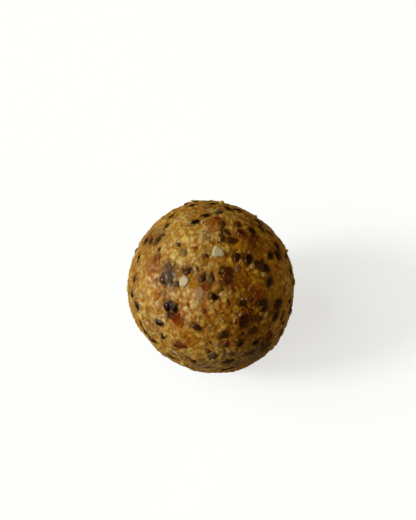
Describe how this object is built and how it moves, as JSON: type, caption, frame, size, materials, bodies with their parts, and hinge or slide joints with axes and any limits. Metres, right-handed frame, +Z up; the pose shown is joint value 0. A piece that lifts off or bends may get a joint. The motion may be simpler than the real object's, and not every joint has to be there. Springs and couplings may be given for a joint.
{
  "type": "energy ball",
  "caption": "Hand-rolled energy ball of oat, nut and date dough, its skin set with chia seeds, dried fruit and nut chips, resting on a small flat.",
  "frame": {"origin": "middle of the box, at the height of the flat that the ball rests on", "axes": "+Z up from the flat, -Y towards the side that the picture is taken from, +X to the picture's right"},
  "size_m": [0.0354, 0.036, 0.0351],
  "materials": {
    "dough": "grainy, slightly moist dough of ground oats, nuts and dates, golden ochre with paler granules and brown patches",
    "chia_seed": "smooth, softly shining seed skin, dark brown to slate grey with fine mottling",
    "dried_fruit": "wrinkled, moist and slightly see-through dried fruit, dark red, maroon and amber",
    "nut_chip": "broken nut, pale cream and dull",
    "oat_crumb": "crumbs and husks of rolled oats, pale gold, dull"
  },
  "bodies": {
    "root": {"energy_ball": "dough"}
  },
  "joints": []
}
